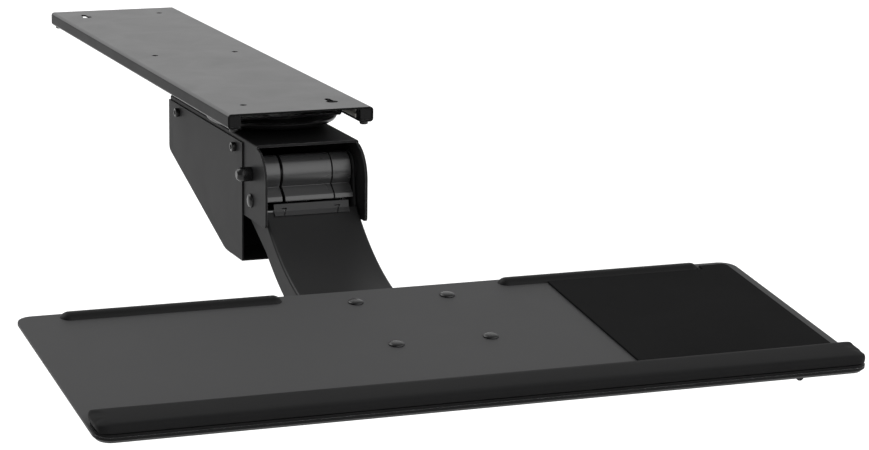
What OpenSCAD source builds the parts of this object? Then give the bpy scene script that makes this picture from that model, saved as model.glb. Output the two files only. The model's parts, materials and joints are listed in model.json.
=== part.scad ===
// Keyboard and mouse platform on a swivelling lift arm, hung from a track under a desk.
// The origin is the centre of the track's top face, which meets the underside of the desk.
// +X is the mouse side, +Y runs back under the desk and +Z is up. The user sits at -Y.

/* [Track] */
// Length of the track
track_len = 700; // [640:5:760]
// Width of the track over its flanges
track_w = 150; // [144:1:160]
// Height of the folded flanges
track_h = 15; // [14:0.5:18]
// Thickness of the track's sheet
track_t = 2; // [1.6:0.1:2.4]
// Width of the lips that carry the carriage
track_lip = 13.5; // [12:0.5:16]
// Outside radius of the track's folds
track_fold_r = 3.5; // [2.8:0.1:4]
// Distance between the two rows of desk screws
desk_row_gap = 90; // [80:1:96]
// Front desk screws, from the track's front end
desk_screw_front = 46; // [42:1:60]
// Middle desk screws, from the track's front end
desk_screw_mid = 362; // [300:1:400]
// Rear desk screws, from the track's rear end
desk_screw_rear = 40; // [36:1:60]
// Radius of a round screw hole
desk_hole_r = 3.5; // [3:0.05:4]
// Radius of the round end of a keyhole
keyhole_r = 6; // [5:0.1:6.6]
// Half width of the narrow end of a keyhole
keyslot_r = 3; // [2.4:0.1:3.6]
// Distance from a keyhole's round end to its narrow end
keyslot_len = 15; // [12:0.5:17]

/* [End stops] */
// Length of an end stop
stop_len = 12; // [10:0.5:16]
// Radius of a stop screw's head
stop_head_r = 4.2; // [3.6:0.1:4.6]
// Height of a stop screw's head
stop_head_h = 3.3; // [2.6:0.1:3.8]
// Radius of a stop screw's shank
stop_shank_r = 2; // [1.6:0.1:2.4]

/* [Carriage] */
// Gap between the carriage's sides and the track's lips
carriage_gap = 1.5; // [1:0.1:3]
// Thickness of the carriage's sheet
carriage_t = 2; // [1.6:0.1:2.2]
// How far the carriage's floor hangs below the track's lips
carriage_drop = 1.5; // [1.2:0.1:3]
// Length of the carriage in front of the swivel's centre
carriage_ahead = 42; // [38:1:46]
// Length of the carriage behind the swivel's centre
carriage_behind = 78; // [70:1:88]
// Length of a nylon glide
glide_len = 159; // [152:1:168]
// Gap between a glide and the track
glide_gap = 0.3; // [0.2:0.05:0.4]
// Distance from the carriage's wings to the track's flanges
wing_clear = 4.5; // [3.6:0.1:6]

/* [Turntable] */
// Distance from the track's front end to the swivel's centre
swivel_setback = 94; // [90:1:100]
// Radius of the turntable's rim
dish_r = 66; // [62:0.5:68]
// Radius of the turntable's foot
dish_foot_r = 46; // [43:0.5:49]
// Height of the turntable
dish_h = 10.4; // [10:0.1:13]
// Thickness of the turntable's sheet
dish_t = 2; // [1.6:0.1:2.4]
// Radius of the swivel bolt
swivel_bolt_r = 6; // [5:0.5:7]
// Thickness of the nylon bearing ring
ring_t = 1.2; // [1:0.1:2]
// Running gap beside the bearing ring and under the swivel bolt's washer
swivel_gap = 0.3; // [0.2:0.05:0.5]

/* [Swivel bracket] */
// Width of the bracket over its flanges
bracket_w = 104.8; // [102:0.2:110]
// Thickness of the bracket's sheet
bracket_t = 2.5; // [2:0.1:3]
// Length of the bracket in front of the swivel's centre
bracket_ahead = 114; // [111:1:117]
// Length of the bracket behind the swivel's centre
bracket_behind = 183; // [177:1:184]
// Depth of the bracket's flanges at the front
bracket_depth = 76.5; // [74:0.5:81]
// How far the flanges stand in front of the top plate
bracket_nose = 27.5; // [26:0.5:30]
// Radius of the flanges' front curve
bracket_nose_r = 33; // [31:0.5:35]
// How far the front curve starts below the bracket's top
bracket_step = 2.6; // [2:0.1:4]
// Outside radius of the bracket's folds
bracket_fold_r = 2; // [1.2:0.1:3]

/* [Rear cover] */
// Length of the cover
cover_len = 255; // [250:1:257]
// Thickness of the cover's sheet
cover_t = 1.5; // [1.2:0.1:2]
// How far the cover's top edge lies below the bracket's top
cover_below = 4.6; // [4:0.1:6]
// Height of the cover at its rear
cover_rear_h = 55; // [50:1:65]
// Height of the cover at its front
cover_front_h = 119; // [105:1:130]
// Length of the level part of the cover's floor
cover_level = 56; // [40:1:80]
// Radius of a cover screw's head
cover_head_r = 4.7; // [4:0.1:5.5]
// Height of a cover screw's head
cover_head_h = 4; // [3.4:0.1:5]

/* [Lift pivot] */
// Distance from the swivel's centre forward to the lift shaft
shaft_ahead = 96.5; // [95:0.5:99]
// Depth of the lift shaft below the bracket's top
shaft_drop = 31.1; // [30:0.1:33]
// Radius of the lift shaft
shaft_r = 5.5; // [5:0.1:6]
// Radius of the cap on the shaft's left end
shaft_cap_r = 7.2; // [6.4:0.1:8]
// How far the cap stands out of the bracket
shaft_cap_len = 15; // [11:0.5:18]
// Radius of the friction washers
washer_r = 20; // [19:0.5:21]
// Gap between the arm and the friction washers
washer_gap = 0.3; // [0.2:0.05:0.4]
// Running clearance of a pin in its hole
run = 0.06; // [0.03:0.01:0.09]

/* [Hinge sleeves] */
// Radius of the hinge sleeves
sleeve_r = 17.2; // [16:0.1:17.6]
// Length of the middle sleeve
sleeve_mid = 50.2; // [44:0.2:56]
// Width of the groove left of the middle sleeve
sleeve_groove = 2.6; // [1:0.1:3]
// Gap at the seam right of the middle sleeve
sleeve_seam = 0.9; // [0.3:0.1:1.2]
// Thickness of the sleeves' aprons
apron_t = 3; // [2.5:0.1:3.2]

/* [Lift arm] */
// Width of the arm over its flanges
arm_w = 96.6; // [94:0.2:97]
// Thickness of the arm's sheet
arm_t = 2; // [1.6:0.1:2.2]
// Depth of the arm's channel
arm_depth = 24.5; // [24:0.5:28]
// Radius of the arm's bent top face
arm_bend_r = 255; // [252:0.5:257]
// Distance from the lift shaft forward to the top edge of the arm's web
web_top_ahead = 27.9; // [27:0.1:29]
// Drop from the lift shaft to the top edge of the arm's web
web_top_drop = 33.2; // [32.4:0.1:34]
// Radius of the arm's folds
arm_fold_r = 3; // [2.5:0.1:4]
// Distance from the lift shaft forward to the tilt axis
arm_reach = 288.2; // [280:0.1:300]
// Height of the tilt axis above the level part of the arm's web
tilt_rise = 10.1; // [9:0.1:11]
// Radius of the tilt shaft
tilt_shaft_r = 5; // [4.5:0.1:5.5]
// Radius of the arm's eye at the lift shaft
arm_hub_r = 18; // [17:0.5:19]
// Radius of the arm's eye at the tilt axis
arm_tip_r = 10; // [9:0.5:11]

/* [Levelling link] */
// Drop from the lift shaft to the link's rivet
link_drop = 26.5; // [26:0.5:28]
// Thickness of a link strap
link_t = 3; // [2.5:0.1:3]
// Depth of a link strap
link_depth = 7.6; // [7:0.1:8]
// Radius of a link's eye
link_eye_r = 7; // [6.5:0.1:7.2]
// Radius of the link's rivets
link_pin_r = 4; // [3.5:0.1:4.4]
// Radius of a rivet's domed head
rivet_head_r = 6.9; // [6:0.1:8]

/* [Lift strut] */
// Distance from the lift shaft back to the strut's rear pin
strut_back = 252.5; // [240:0.5:256]
// Drop from the lift shaft to the strut's rear pin
strut_drop = 2.5; // [0:0.5:6]
// Radius of the strut's cylinder
strut_r = 9.5; // [8:0.5:11]
// Length of the strut's cylinder from its rear pin
strut_body = 150; // [140:1:165]
// Length of the strut's neck behind its cylinder
strut_neck = 12; // [11:0.5:16]
// Depth of the bore in the strut's cylinder
strut_bore = 90; // [80:1:100]
// How far the rod reaches into the cylinder
strut_rod_in = 62; // [40:1:68]
// Radius of the strut's rod
strut_rod_r = 4; // [3.5:0.1:4.5]
// Distance of the arm's heel pin behind the lift shaft
heel_back = 4; // [3:0.5:5]
// Distance of the arm's heel pin below the lift shaft
heel_drop = 41; // [40:0.5:42]
// Play of the rod's eye on the heel pin, where the linkage is opened
heel_play = 1.5; // [1.4:0.1:1.8]

/* [Tray] */
// Width of the platform
tray_w = 692; // [660:2:700]
// How far the platform's middle lies to the left of the arm's middle
tray_aside = 3; // [0:0.2:4]
// Depth of the platform
tray_d = 279.4; // [270:0.2:290]
// Thickness of the platform
tray_t = 5.5; // [5:0.1:7]
// Width and height of the bevel under the platform's edge
tray_bevel = 3; // [2:0.1:3.5]
// Radius of the platform's corners
tray_corner_r = 15; // [11:1:30]
// Slope of the platform in the rest position, in degrees
tray_pitch = 6.8; // [5:0.1:8]
// Distance from the tilt axis back to the platform's rear edge
tilt_rear = 38; // [36:0.5:42]
// Depth of the tilt axis below the platform's top
tilt_under = 26; // [25:0.5:27]
// Distance between the tray bolts across the tray
bolt_gap_x = 88; // [86:1:92]
// Distance of the rear tray bolts from the rear edge
bolt_rear = 29; // [27:0.5:30]
// Distance between the tray bolts along the tray
bolt_gap_y = 106.5; // [100:0.5:112]
// Radius of a tray bolt's domed head
bolt_head_r = 7; // [6:0.1:8]
// Thickness of the tray's bracket
mount_t = 3; // [2.5:0.1:3]

/* [Tray fittings] */
// Depth of the palm rest
palm_d = 40; // [36:1:46]
// Height of the palm rest's pad
palm_h = 10; // [8:0.5:14]
// Thickness of the palm rest's board
palm_board = 2; // [1.5:0.1:3]
// How far the palm rest's ends stop short of the platform's ends
palm_inset = 1.5; // [0.5:0.1:4]
// Length of a keyboard stop
stop_strip_len = 203; // [180:1:215]
// Distance between the two keyboard stops
stop_strip_gap = 209; // [200:1:230]
// Height of a keyboard stop
stop_strip_h = 5; // [4:0.5:7]
// Depth of a keyboard stop
stop_strip_d = 16.8; // [14:0.2:18]
// Left edge of the mouse mat, from the platform's middle
mat_left = 150; // [140:0.5:170]
// Margin of the platform beside the mouse mat
mat_margin = 9; // [6:0.5:12]
// Thickness of the mouse mat
mat_t = 2; // [1.5:0.1:3]

/* [Hidden] */
$fn = 72;

steel = [0.16, 0.16, 0.165];
dark_steel = [0.12, 0.12, 0.125];
moulded = [0.2, 0.2, 0.2];
nylon = [0.75, 0.74, 0.7];
zinc = [0.6, 0.61, 0.62];
fabric = [0.08, 0.08, 0.085];

// Places along the track
track_front = -track_len / 2;
track_rear = track_len / 2;
channel_x = track_w / 2 - track_t;
lip_x = track_w / 2 - track_lip;
carriage_x = lip_x - carriage_gap;
wing_tip = channel_x - wing_clear;
fold_in = track_fold_r - track_t;
end_inset = 0.5;
stop_front = track_front + end_inset;
glide_front = stop_front + stop_len + end_inset;
swivel_y = track_front + swivel_setback;

// Levels from the track down to the bracket
carriage_z = -track_h - carriage_drop;
wing_z = -track_h / 2 - carriage_t / 2;
dish_top = carriage_z - ring_t - swivel_gap;
bracket_top = dish_top - dish_h;
bracket_x = bracket_w / 2;
bracket_in = bracket_x - bracket_t;
bracket_front = swivel_y - bracket_ahead;
bracket_rear = swivel_y + bracket_behind;
nose_y = bracket_front - bracket_nose;
bracket_low = bracket_top - bracket_depth;
cover_front = bracket_rear - cover_len;
cover_top = bracket_top - cover_below;

// Lift pivot, link pivots and tilt axis in the YZ plane
shaft = [swivel_y - shaft_ahead, bracket_top - shaft_drop];
link_pin = shaft - [0, link_drop];
web_top_angle = -47.4;
web_top = shaft - [web_top_ahead, web_top_drop];
bend = web_top - arm_bend_r * [cos(web_top_angle), sin(web_top_angle)];
flat_z = bend[1] - arm_bend_r;
tilt = [shaft[0] - arm_reach, flat_z + tilt_rise];
link_tip = tilt - [0, link_drop];
heel = shaft + [heel_back, -heel_drop];
anchor = shaft + [strut_back, -strut_drop];
arm_x = arm_w / 2;
arm_in = arm_x - arm_t;
washer_t = bracket_in - arm_x - washer_gap;
heel_r = 9.5;
link_r = norm(link_pin - bend);
link_x = arm_in - 0.5;
lever_t = 3;
lever_x = link_x - link_t - 0.3;

// Tray frame: its origin is the middle of the platform's rear edge, on the top face
tray_pos = tilt - turn([-tilt_rear, -tilt_under], tray_pitch);
tilt_local = [-tilt_rear, -tilt_under];
nut_r = 6.2;
mount_x = bolt_gap_x / 2 + nut_r + 1.8;
mount_z = -tray_t - mount_t;
clamp_r = 28;
clamp_angle = 194;
clamp = tilt + clamp_r * [cos(clamp_angle), sin(clamp_angle)];
clamp_pin_r = 4;
stop_strip_inset = 1.2;

function turn(p, a) = [p[0] * cos(a) - p[1] * sin(a), p[0] * sin(a) + p[1] * cos(a)];
function on_bend(r, a) = bend + r * [cos(a), sin(a)];
function sector(r, a0, a1, n = 6) =
    concat([[0, 0]], [for (i = [0:n]) r * [cos(a0 + (a1 - a0) * i / n), sin(a0 + (a1 - a0) * i / n)]]);

// A side-view outline in Y and Z, made solid from x0 to x1
module across(x0, x1) {
    translate([x0, 0, 0]) rotate([90, 0, 90]) linear_extrude(x1 - x0) children();
}

// The same outline on the left and on the right, between two distances from the middle
module both_sides(x0, x1) {
    across(x0, x1) children();
    across(-x1, -x0) children();
}

// A front-view outline in X and Z, made solid from y0 to y1
module along(y0, y1) {
    translate([0, y1, 0]) rotate([90, 0, 0]) linear_extrude(y1 - y0) children();
}

module disc(at, r) {
    translate(at) circle(r);
}

module pin(at, r, x0, x1) {
    across(x0, x1) disc(at, r);
}

module hex_2d(at, r) {
    translate(at) circle(r, $fn = 6);
}

// A ring of sheet between two radii of the arm's bend
module bend_band(r0, r1, a0, a1) {
    translate(bend) intersection() {
        difference() {
            circle(r1, $fn = 180);
            circle(r0, $fn = 180);
        }
        polygon(sector(r1 * 1.2, a0, a1));
    }
}

// Everything fixed to the tray is drawn level, with its rear edge at the origin
module on_tray() {
    translate([0, tray_pos[0], tray_pos[1]]) rotate([tray_pitch, 0, 0]) children();
}

// The platform and what lies on it
module on_board() {
    on_tray() translate([-tray_aside, 0, 0]) children();
}

module rounded_2d(x0, x1, y0, y1, r) {
    translate([x0 + r, y0]) square([x1 - x0 - 2 * r, y1 - y0]);
    translate([x0, y0 + r]) square([x1 - x0, y1 - y0 - 2 * r]);
    for (x = [x0 + r, x1 - r], y = [y0 + r, y1 - r]) disc([x, y], r);
}

// A domed head that stands on the plane z = 0
module dome(r, h) {
    ball = (r * r + h * h) / (2 * h);
    intersection() {
        translate([0, 0, h - ball]) sphere(ball);
        cylinder(r = r + 1, h = h + 1);
    }
}

// A pan head with a bevelled rim that stands on the plane z = 0
module pan_head(r, h) {
    bevel = h * 0.3;
    cylinder(r = r, h = h - bevel);
    translate([0, 0, h - bevel]) cylinder(r1 = r, r2 = r - bevel, h = bevel);
}

// A domed head on a flange at distance x, pointing outwards on the side given by s
module side_dome(at, x, s, r, h) {
    translate([s * x, at[0], at[1]]) rotate([0, s * 90, 0]) dome(r, h);
}

// Folded channel with inward lips, with its outline in X and Z
module track_section() {
    difference() {
        rounded_2d(-track_w / 2, track_w / 2, -track_h, 0, track_fold_r);
        channel_space();
        translate([-lip_x, -track_h - 1]) square([2 * lip_x, track_h - track_t]);
    }
}

module channel_space() {
    rounded_2d(-channel_x, channel_x, -track_h + track_t, -track_t, fold_in);
}

// Round end towards the front of the track, narrow end towards its rear
module keyhole(x, y) {
    translate([x, y - keyslot_len / 2, -track_t - 1]) {
        cylinder(r = keyhole_r, h = track_t + 2);
        translate([0, keyslot_len, 0]) cylinder(r = keyslot_r, h = track_t + 2);
        translate([-keyslot_r, 0, 0]) cube([2 * keyslot_r, keyslot_len, track_t + 2]);
    }
}

module desk_hole(x, y) {
    translate([x, y, -track_t - 1]) cylinder(r = desk_hole_r, h = track_t + 2);
}

module track() {
    x = desk_row_gap / 2;
    color(steel) difference() {
        along(track_front, track_rear) track_section();
        desk_hole(-x, track_front + desk_screw_front);
        keyhole(x, track_front + desk_screw_front);
        for (s = [-1, 1]) desk_hole(s * x, track_front + desk_screw_mid);
        keyhole(-x, track_rear - desk_screw_rear);
        desk_hole(x, track_rear - desk_screw_rear);
        stop_holes(-track_h - 1, -track_t - 1);
    }
}

// Calls its children at each of the four end stops
module at_stops() {
    x = (channel_x + lip_x) / 2;
    for (s = [-1, 1], y = [stop_front + stop_len / 2, -stop_front - stop_len / 2])
        translate([s * x, y, 0]) children();
}

module stop_holes(z0, z1) {
    at_stops() translate([0, 0, z0]) cylinder(r = stop_shank_r, h = z1 - z0);
}

module end_stops() {
    blind = -track_t - (track_h - 2 * track_t) / 3;
    color(moulded) difference() {
        for (y = [stop_front, -stop_front - stop_len]) along(y, y + stop_len) difference() {
            channel_space();
            translate([-lip_x, -track_h]) square([2 * lip_x, track_h]);
        }
        stop_holes(-track_h, blind);
    }
}

module stop_screws() {
    color(zinc) at_stops() {
        translate([0, 0, -track_h]) cylinder(r = stop_shank_r, h = track_h - track_t - 4);
        translate([0, 0, -track_h]) mirror([0, 0, 1]) pan_head(stop_head_r, stop_head_h);
    }
}

// Corners of the carriage's section on one side: floor, upright side and wing in the glide
function carriage_half(fold = 1.2) = [
    [carriage_x - fold, carriage_z], [carriage_x, carriage_z + fold], [carriage_x, wing_z],
    [wing_tip, wing_z], [wing_tip, wing_z + carriage_t],
    [carriage_x - carriage_t + fold, wing_z + carriage_t],
    [carriage_x - carriage_t, wing_z + carriage_t - fold],
    [carriage_x - carriage_t, carriage_z + carriage_t]];

function other_side(p) = [for (i = [len(p) - 1:-1:0]) [-p[i][0], p[i][1]]];

module carriage_plate() {
    color(dark_steel) difference() {
        along(swivel_y - carriage_ahead, swivel_y + carriage_behind)
            polygon(concat(carriage_half(), other_side(carriage_half())));
        translate([0, swivel_y, carriage_z - 1]) cylinder(r = swivel_bolt_r, h = carriage_t + 2);
    }
}

module glides() {
    top = -track_t - glide_gap;
    low = -track_h + track_t + glide_gap;
    x0 = carriage_x + glide_gap;
    color(nylon) for (s = [0, 1]) mirror([s, 0, 0])
        along(glide_front, glide_front + glide_len) difference() {
            rounded_2d(x0, channel_x - glide_gap, low, top, fold_in);
            translate([x0 - 1, wing_z]) square([wing_tip - x0 + 1, carriage_t]);
        }
}

module swivel_bolt() {
    top = carriage_z + carriage_t;
    foot = bracket_top + swivel_gap;
    color(zinc) translate([0, swivel_y, 0]) {
        translate([0, 0, top]) cylinder(r = swivel_bolt_r * 1.7, h = 5, $fn = 6);
        translate([0, 0, foot]) cylinder(r = swivel_bolt_r, h = top - foot + 1);
    }
}

module swivel_nut() {
    top = dish_top - dish_t - swivel_gap;
    washer = 1.5;
    nut = dish_h - dish_t - washer - 3 * swivel_gap - 0.5;
    color(zinc) translate([0, swivel_y, 0]) difference() {
        union() {
            translate([0, 0, top - washer]) cylinder(r = swivel_bolt_r + 7, h = washer);
            translate([0, 0, top - washer - nut]) cylinder(r = swivel_bolt_r * 1.7, h = nut + 0.5, $fn = 6);
        }
        translate([0, 0, top - washer - nut - 1]) cylinder(r = swivel_bolt_r, h = nut + washer + 2);
    }
}

module bearing_ring() {
    color(nylon) translate([0, swivel_y, carriage_z - ring_t]) difference() {
        cylinder(r = dish_foot_r - 4, h = ring_t);
        translate([0, 0, -1]) cylinder(r = swivel_bolt_r + 4, h = ring_t + 2);
    }
}

// Pressed pan: flat top, rolled rim, shallow floor and a foot that is riveted to the bracket
module turntable() {
    rim = 1.5;
    low = dish_top - dish_h;
    foot_in = dish_foot_r - 10;
    outer = [
        [dish_r - rim, dish_top], [dish_r, dish_top - rim], [dish_r - 0.7, dish_top - 3.2],
        [dish_r - 2.6, dish_top - 5.4], [dish_r - 6, dish_top - 7.2], [dish_foot_r + 4, low + 1.4],
        [dish_foot_r + 0.8, low + 0.8], [dish_foot_r - 1.5, low]];
    inner = [
        [foot_in, low], [foot_in, low + dish_t], [dish_foot_r - 2, low + dish_t],
        [dish_foot_r + 3.6, low + dish_t + 1.3], [dish_r - 6.8, dish_top - 5.2],
        [dish_r - 4, dish_top - 3.8], [dish_r - 3, dish_top - dish_t]];
    color(dark_steel) translate([0, swivel_y, 0]) difference() {
        rotate_extrude($fn = 120) polygon(concat(
            [[swivel_bolt_r + run, dish_top]], outer, inner, [[swivel_bolt_r + run, dish_top - dish_t]]));
        rivet_holes(low - 1, low + dish_t + 1);
    }
}

// Calls its children at each of the turntable's rivets
module at_rivets() {
    for (a = [45:90:315]) rotate(a) translate([dish_foot_r - 6, 0, 0]) children();
}

module rivet_holes(z0, z1) {
    at_rivets() translate([0, 0, z0]) cylinder(r = 2.5, h = z1 - z0);
}

module turntable_rivets() {
    head_r = 3.8;
    color(zinc) translate([0, swivel_y, 0]) at_rivets() {
        translate([0, 0, bracket_top - bracket_t]) cylinder(r = 2.5, h = bracket_t + dish_t);
        translate([0, 0, bracket_top + dish_t]) dome(head_r, 1.5);
        translate([0, 0, bracket_top - bracket_t]) mirror([0, 0, 1]) dome(head_r, 1.5);
    }
}

// Side view of the bracket: curved nose, deep cheeks at the shaft, shallow tail
module bracket_side() {
    tail = bracket_depth - 30;
    nose = [nose_y + bracket_nose_r, bracket_top - bracket_step - bracket_nose_r];
    corner = 4;
    step = shaft[0] + 50;
    disc(nose, bracket_nose_r);
    disc([nose_y + corner, bracket_low + corner], corner);
    translate([nose_y, bracket_low + corner]) square([30, nose[1] - bracket_low - corner]);
    translate([nose_y + corner, bracket_low]) square([step - nose_y - corner, 20]);
    polygon([
        [bracket_front, bracket_top], [bracket_front, bracket_low], [step, bracket_low],
        [step + 30, bracket_top - tail], [bracket_rear, bracket_top - tail],
        [bracket_rear, bracket_top]]);
}

// Folded section of the bracket, an upside-down channel
module bracket_section() {
    r = bracket_fold_r;
    difference() {
        union() {
            translate([-bracket_x, bracket_low]) square([bracket_w, bracket_depth - r]);
            translate([-bracket_x + r, bracket_top - r]) square([bracket_w - 2 * r, r]);
            for (s = [-1, 1]) disc([s * (bracket_x - r), bracket_top - r], r);
        }
        translate([-bracket_in, bracket_low - 1]) square([2 * bracket_in, bracket_depth + 1 - bracket_t]);
    }
}

module swivel_bracket() {
    color(steel) difference() {
        intersection() {
            along(nose_y - 1, bracket_rear) bracket_section();
            across(-bracket_x - 1, bracket_x + 1) bracket_side();
        }
        translate([-bracket_in, nose_y - 1, bracket_top - bracket_t - 1])
            cube([2 * bracket_in, bracket_front - nose_y + 1, bracket_t + 2]);
        translate([0, swivel_y, 0]) rivet_holes(bracket_top - bracket_t - 1, bracket_top + 1);
        pin(shaft, shaft_r + run, -bracket_x - 1, bracket_x + 1);
        pin(link_pin, link_pin_r, -bracket_x - 1, bracket_x + 1);
        pin(anchor, link_pin_r, -bracket_x - 1, bracket_x + 1);
        cover_holes();
    }
}

// Side view of the cover, drawn in by one sheet's thickness for its inside
module cover_side(inset) {
    r = 6;
    rear = bracket_rear + cover_t - inset;
    low = cover_top - cover_rear_h + inset;
    deep = cover_top - cover_front_h + inset;
    open = inset > 0 ? 1 : 0;
    front = cover_front - open;
    top = cover_top + open;
    polygon([
        [rear, top], [rear, low + r], [rear - r / 3, low + r / 3], [rear - r, low],
        [cover_front + cover_level + 6, deep + 2], [cover_front + cover_level, deep + 0.6],
        [cover_front + cover_level - 8, deep], [front, deep], [front, top]]);
}

module rear_cover() {
    x = bracket_x + cover_t;
    color(steel) difference() {
        across(-x, x) cover_side(0);
        across(-bracket_x, bracket_x) cover_side(cover_t);
        cover_holes();
    }
}

// Calls its children at each cover screw, turned so that +Z points out of the side
module at_cover_screws() {
    for (s = [-1, 1], y = [cover_front + 24, bracket_rear - 34])
        translate([s * bracket_x, y, cover_top - 8.2]) rotate([0, s * 90, 0]) children();
}

module cover_holes() {
    at_cover_screws() translate([0, 0, -bracket_t - 1]) cylinder(r = 3, h = bracket_t + cover_t + 2);
}

// Cap screws with a hexagon socket in the head
module cover_screws() {
    color(zinc) at_cover_screws() difference() {
        union() {
            translate([0, 0, -bracket_t - 3]) cylinder(r = 3, h = bracket_t + cover_t + 3);
            translate([0, 0, cover_t]) pan_head(cover_head_r, cover_head_h);
        }
        translate([0, 0, cover_t + cover_head_h / 2])
            cylinder(r = cover_head_r * 0.6, h = cover_head_h, $fn = 6);
    }
}

module lift_shaft() {
    head_r = 9;
    color(zinc) {
        pin(shaft, shaft_r, -bracket_x - shaft_cap_len + 4, bracket_x + 1);
        side_dome(shaft, bracket_x, 1, head_r, 4.5);
    }
}

// Moulded cap over the shaft's end, with a round tip
module shaft_cap() {
    color(dark_steel) translate([-bracket_x, shaft[0], shaft[1]]) rotate([0, -90, 0])
        difference() {
            union() {
                cylinder(r = shaft_cap_r, h = shaft_cap_len - shaft_cap_r + 1);
                translate([0, 0, shaft_cap_len - shaft_cap_r + 1])
                    intersection() {
                        sphere(shaft_cap_r);
                        cylinder(r = shaft_cap_r + 1, h = shaft_cap_r - 1);
                    }
            }
            translate([0, 0, -1]) cylinder(r = shaft_r, h = shaft_cap_len - 3);
        }
}

module friction_washers() {
    color(nylon) both_sides(bracket_in - washer_t, bracket_in) difference() {
        disc(shaft, washer_r);
        disc(shaft, shaft_r + run);
    }
}

module link_rivets() {
    inner = link_x - link_t - 0.3;
    color(zinc) for (s = [-1, 1]) {
        pin(link_pin, link_pin_r, s > 0 ? inner - 2 : -bracket_x - 0.1, s > 0 ? bracket_x + 0.1 : -inner + 2);
        pin(link_pin, link_pin_r + 2, s > 0 ? inner - 2 : -inner, s > 0 ? inner : -inner + 2);
        side_dome(link_pin, bracket_x, s, rivet_head_r, 3.6);
    }
}

module strut_anchor_pin() {
    color(zinc) pin(anchor, link_pin_r, -bracket_x, bracket_x);
}

// Strut pieces are drawn along +Z from the rear pin and then laid towards the heel pin
module on_strut() {
    aim = heel - anchor;
    translate([0, anchor[0], anchor[1]]) rotate([90 + atan2(-aim[1], -aim[0]), 0, 0]) children();
}

function strut_len() = norm(heel - anchor);

module strut_cylinder() {
    eye = link_pin_r + 4.5;
    color(dark_steel) difference() {
        union() {
            pin(anchor, eye, -6, 6);
            on_strut() cylinder(r = strut_r / 2, h = strut_neck + 1);
            on_strut() translate([0, 0, strut_neck]) cylinder(r = strut_r, h = strut_body - strut_neck);
        }
        pin(anchor, link_pin_r + run, -7, 7);
        on_strut() translate([0, 0, strut_body - strut_bore])
            cylinder(r = strut_rod_r + run, h = strut_bore + 1);
    }
}

module strut_rod() {
    eye = link_pin_r + heel_play + 4;
    start = strut_body - strut_rod_in;
    color(zinc) difference() {
        union() {
            pin(heel, eye, -6, 6);
            on_strut() translate([0, 0, start]) cylinder(r = strut_rod_r, h = strut_len() - start - 2);
        }
        pin(heel, link_pin_r + heel_play, -7, 7);
    }
}

// Cross-section of the arm's channel: x is the distance from the bend's centre
module arm_section(r0) {
    r = arm_fold_r;
    difference() {
        union() {
            translate([r0 + r, -arm_x]) square([arm_depth - r, arm_w]);
            translate([r0, -arm_x + r]) square([r, arm_w - 2 * r]);
            for (s = [-1, 1]) translate([r0 + r, s * (arm_x - r)]) circle(r);
        }
        translate([r0 + arm_t, -arm_in]) square([arm_depth, 2 * arm_in]);
    }
}

// The arm's side plate around the lift shaft, down to the heel and into the channel
module arm_cheek() {
    shoulder = arm_bend_r + arm_fold_r + 1;
    heel_mid = heel + [1.5, -1];
    tuck = heel_r - 0.4;
    polygon([
        shaft + [-arm_hub_r + 0.6, -4], on_bend(shoulder, web_top_angle + 0.9), on_bend(shoulder, -53),
        on_bend(arm_bend_r + arm_depth - 3, -57.5), heel_mid + turn([tuck, 0], -63.5),
        heel_mid + [tuck, 0], shaft + [arm_hub_r - 0.6, -4]]);
    disc(shaft, arm_hub_r);
    disc(heel_mid, heel_r);
}

// Curved slot about a pivot, with drilled ends a little wider than the slot itself
module arc_slot(r_mid, half, a0, a1) {
    intersection() {
        difference() {
            circle(r_mid + half);
            circle(r_mid - half);
        }
        polygon(sector(r_mid * 2, a0, a1));
    }
    for (a = [a0, a1]) rotate(a) translate([r_mid, 0]) circle(half + 0.3);
}

// The arc that a link rivet sweeps in the arm's cheek over the lift range
module rivet_slot() {
    translate(shaft) arc_slot(link_drop, link_pin_r + 0.5, -90 - 24, -90 + 10);
}

// The fork at the front of the arm, with an ear that rises to the tilt shaft
module arm_fork() {
    low = flat_z - arm_depth;
    polygon([
        [bend[0] - 8, flat_z - arm_t - 2], [bend[0] - 8, low], [tilt[0] + 44, low],
        [tilt[0] - 6, tilt[1] - 20], tilt + [-arm_tip_r + 0.3, -2], tilt + [arm_tip_r - 0.3, 2],
        [tilt[0] + 26, flat_z - arm_fold_r]]);
    disc(tilt, arm_tip_r);
    disc([tilt[0] - 1, tilt[1] - 17], 6);
}

module arm_channel() {
    web_front = tilt[0] + 24;
    color(steel) difference() {
        union() {
            translate([0, bend[0], bend[1]]) rotate([90, 0, 90]) rotate(-90)
                rotate_extrude(angle = 90 + web_top_angle, $fn = 240) arm_section(arm_bend_r);
            translate([0, bend[0], bend[1]]) rotate([90, 0, 0]) linear_extrude(bend[0] - web_front)
                rotate(-90) arm_section(arm_bend_r);
            both_sides(arm_in, arm_x) arm_cheek();
            both_sides(arm_in, arm_x) arm_fork();
        }
        both_sides(arm_in - 1, arm_x + 1) rivet_slot();
        pin(shaft, shaft_r + 2.5, -arm_x - 1, arm_x + 1);
        pin(heel, link_pin_r, -arm_x - 1, arm_x + 1);
        pin(tilt, tilt_shaft_r + run, -arm_x - 1, arm_x + 1);
    }
}

module arm_bushes() {
    color(nylon) {
        both_sides(arm_in, arm_x) bush_ring(shaft_r + 2.5);
        both_sides(arm_in - 1.3, arm_in) bush_ring(shaft_r + 5);
    }
}

module bush_ring(r) {
    difference() {
        disc(shaft, r);
        disc(shaft, shaft_r + run);
    }
}

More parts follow.
